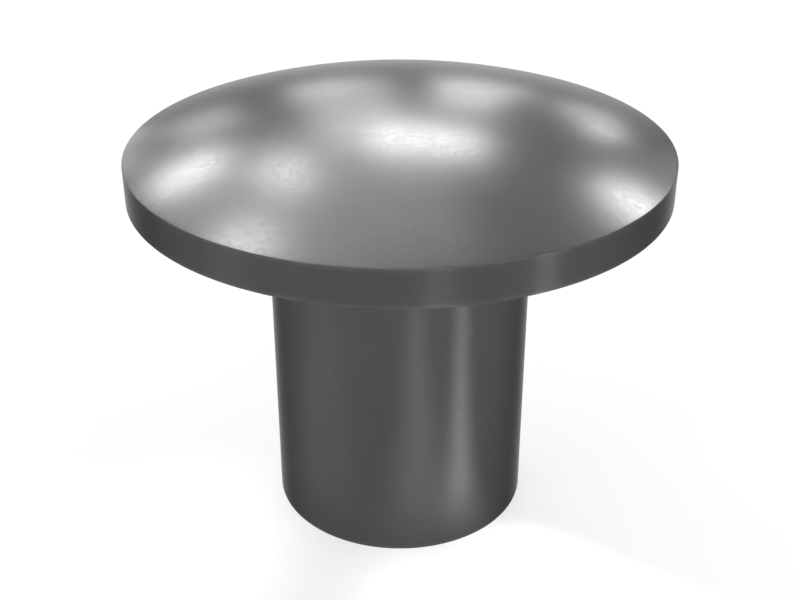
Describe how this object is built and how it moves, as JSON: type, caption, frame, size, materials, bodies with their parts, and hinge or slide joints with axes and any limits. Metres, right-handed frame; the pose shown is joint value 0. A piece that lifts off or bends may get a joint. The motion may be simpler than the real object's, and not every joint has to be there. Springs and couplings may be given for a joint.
{
  "type": "semi-tubular rivet",
  "caption": "Low domed round head with a straight rim on a short cylindrical shank whose tail end has a blind hole, so that it can be rolled over to clinch sheets.",
  "frame": {"origin": "on the rivet's axis, in the plane of the head's flat underside, which bears on the work", "axes": "+Z along the axis, from the tail end up towards the head; the rivet is round, so X and Y are free"},
  "size_m": [0.0094, 0.0094, 0.0078],
  "materials": {
    "plain_steel": "satin grey cold-headed steel, lightly tumbled, with a fine grain"
  },
  "bodies": {
    "root": {"rivet": "plain_steel"}
  },
  "joints": []
}
